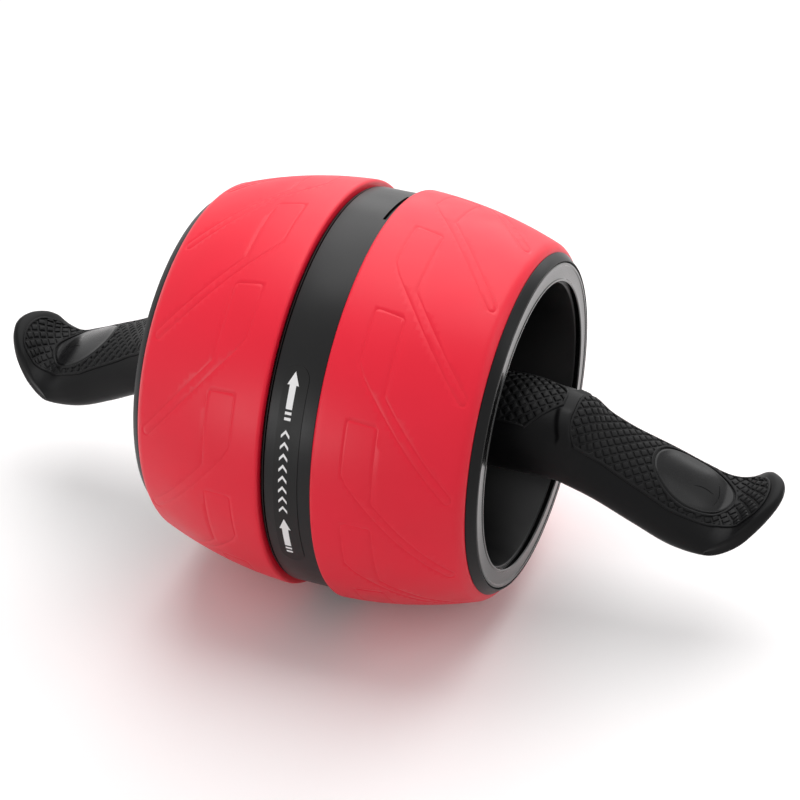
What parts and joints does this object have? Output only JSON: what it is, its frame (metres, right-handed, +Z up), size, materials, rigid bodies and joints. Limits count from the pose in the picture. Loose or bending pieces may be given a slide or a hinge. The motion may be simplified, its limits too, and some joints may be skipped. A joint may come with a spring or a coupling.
{
  "type": "ab wheel roller",
  "caption": "Barrel-shaped rebound ab roller with soft treads, a centre band, cupped ends and drooping textured handles on a sprung axle.",
  "frame": {"origin": "on the floor, under the middle of the wheel", "axes": "+X along the axle, +Y the way the wheel rolls out, +Z up"},
  "size_m": [0.3826, 0.1874, 0.1874],
  "materials": {
    "tread_red": "matte",
    "shell_black": "satin",
    "band_black": "satin",
    "label_black": "satin",
    "trim_black": "gloss",
    "bearing_white": "satin",
    "case_grey": "satin",
    "steel": "satin",
    "spring_steel": "satin",
    "handle_black": "satin",
    "grip_black": "matte"
  },
  "bodies": {
    "handles_and_axle": {"axle": "steel", "spring_arbor": "steel", "arbor_pin": "steel", "power_spring": "spring_steel", "thrust_washer_left": "bearing_white", "thrust_washer_right": "bearing_white", "retaining_ring_left": "spring_steel", "retaining_ring_right": "spring_steel", "handle_pin_left": "steel", "handle_pin_right": "steel", "handle_core_left": "handle_black", "handle_core_right": "handle_black", "grip_pad_left": "grip_black", "grip_pad_right": "grip_black", "neck_pad_left": "grip_black", "neck_pad_right": "grip_black"},
    "wheel": {"tread_left": "tread_red", "tread_right": "tread_red", "wheel_shell_left": "shell_black", "wheel_shell_right": "shell_black", "centre_band": "band_black", "direction_label": "label_black", "trim_ring_left": "trim_black", "trim_ring_right": "trim_black", "bush_left": "bearing_white", "bush_right": "bearing_white", "shell_screws": "steel", "spring_case": "case_grey", "spring_case_lid": "case_grey"}
  },
  "joints": [
    {"name": "wheel_spin", "type": "hinge", "parent": "handles_and_axle", "child": "wheel", "pos_m": [0, 0, 0.0937], "axis": [-1, 0, 0], "range_deg": [0, 900], "stiffness_Nm_per_rad": 0.25, "deforming": ["power_spring"]}
  ]
}
